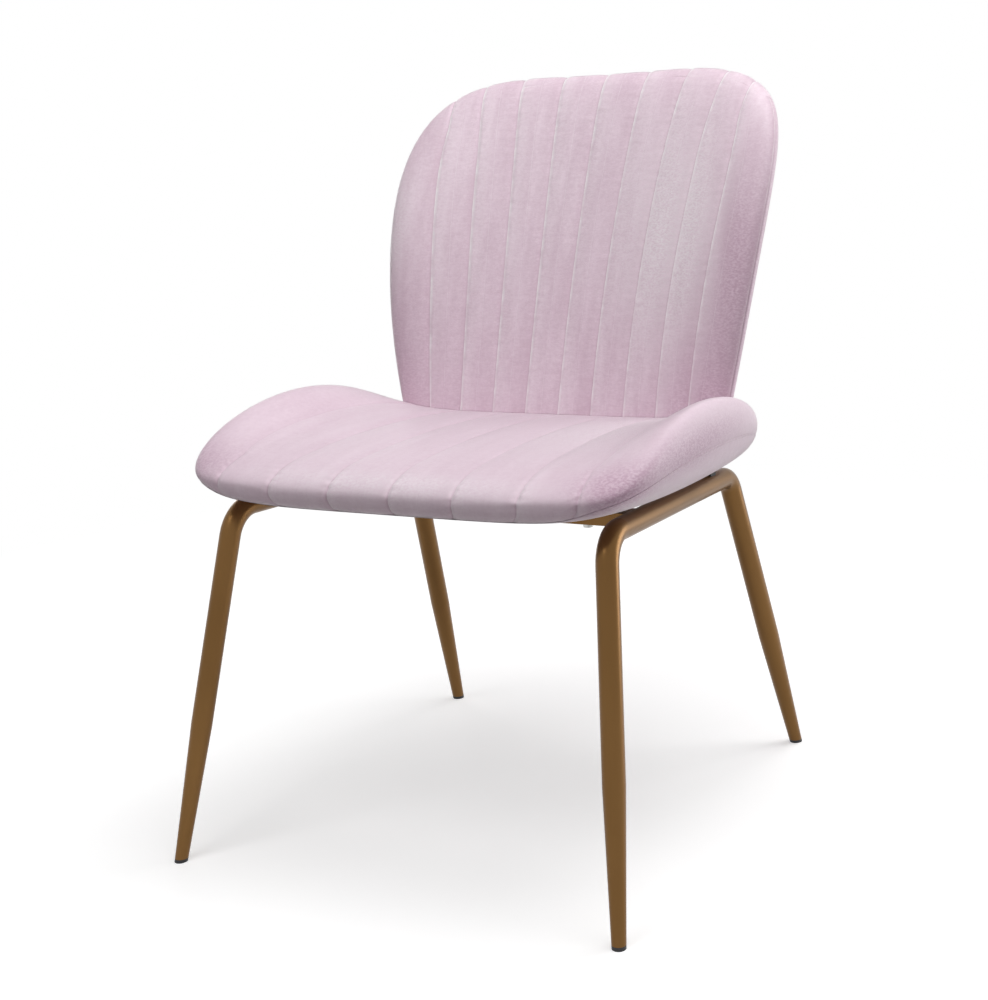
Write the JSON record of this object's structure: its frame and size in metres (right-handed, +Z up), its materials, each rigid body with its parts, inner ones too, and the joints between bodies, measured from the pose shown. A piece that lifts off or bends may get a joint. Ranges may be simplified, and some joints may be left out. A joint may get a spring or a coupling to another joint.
{
  "type": "upholstered side chair",
  "caption": "Armless upholstered chair with a dished, channel-stitched velvet seat, a reclined curved back and raked tapered tube legs.",
  "frame": {"origin": "on the floor, under the middle of the chair's bounding box", "axes": "+Z up, -Y is where the sitter faces, +X to the right as seen from in front"},
  "size_m": [0.5906, 0.6954, 0.8549],
  "materials": {
    "velvet": "soft velvet with a light sheen",
    "leg_metal": "satin bronze paint",
    "glide_plastic": "matte black",
    "pad_rubber": "matte black",
    "fastener_steel": "zinc plated",
    "plywood": "raw veneer",
    "foam": "open-cell foam"
  },
  "bodies": {
    "root": {"side_frame_left": "leg_metal", "side_frame_right": "leg_metal", "cross_bar_front": "leg_metal", "cross_bar_rear": "leg_metal", "foot_glide_front_left": "glide_plastic", "foot_glide_front_right": "glide_plastic", "foot_glide_rear_left": "glide_plastic", "foot_glide_rear_right": "glide_plastic", "rail_pad_left": "pad_rubber", "rail_pad_right": "pad_rubber", "back_bracket_left": "fastener_steel", "back_bracket_right": "fastener_steel", "seat_bolts": "fastener_steel", "seat_bolt_washers": "fastener_steel", "seat_tee_nuts": "fastener_steel", "bracket_seat_screws": "fastener_steel", "bracket_back_screws": "fastener_steel", "seat_panel": "plywood", "back_panel": "plywood", "seat_foam": "foam", "back_foam": "foam", "seat_cover": "velvet", "seat_under_cover": "velvet", "back_cover_front": "velvet", "back_cover_rear": "velvet"}
  },
  "joints": []
}
